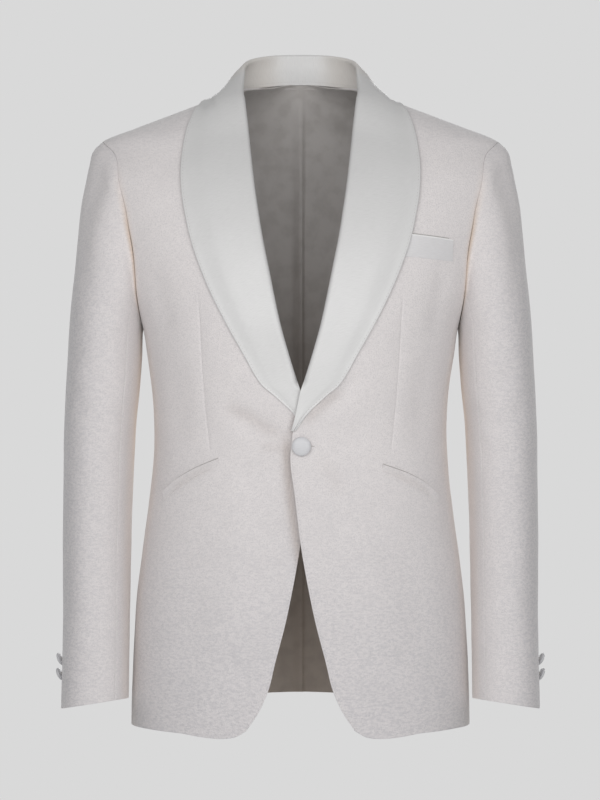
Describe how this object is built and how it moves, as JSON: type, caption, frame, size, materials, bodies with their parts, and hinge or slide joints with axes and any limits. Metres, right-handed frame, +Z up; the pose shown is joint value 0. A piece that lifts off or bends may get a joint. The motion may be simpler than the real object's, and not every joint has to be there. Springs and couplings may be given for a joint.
{
  "type": "tuxedo jacket",
  "caption": "Ivory dinner jacket with a wide satin shawl collar, filled out as when worn, hollow and open at the neck, front, cuffs and hem.",
  "frame": {"origin": "midway between the two points where the shoulder seams reach the neck, at their level, where a wearer's shoulders hold the jacket up", "axes": "+Z up, -Y is the front, where the jacket buttons, and +X is the wearer's left side"},
  "size_m": [0.5532, 0.2673, 0.7744],
  "materials": {
    "ivory_cloth": "matt, softly napped",
    "ivory_satin": "satin",
    "taupe_lining": "smooth, soft sheen"
  },
  "bodies": {
    "root": {"front_left": "ivory_cloth", "front_right": "ivory_cloth", "side_left": "ivory_cloth", "side_right": "ivory_cloth", "back_left": "ivory_cloth", "back_right": "ivory_cloth", "sleeve_top_left": "ivory_cloth", "sleeve_top_right": "ivory_cloth", "sleeve_under_left": "ivory_cloth", "sleeve_under_right": "ivory_cloth", "welt_hip_left": "ivory_cloth", "welt_hip_right": "ivory_cloth", "shawl_left": "ivory_satin", "shawl_right": "ivory_satin", "welt_breast": "ivory_satin", "button_front": "ivory_satin", "button_cuff_left_1": "ivory_satin", "button_cuff_left_2": "ivory_satin", "button_cuff_right_1": "ivory_satin", "button_cuff_right_2": "ivory_satin", "lining_left": "taupe_lining", "lining_right": "taupe_lining"}
  },
  "joints": []
}
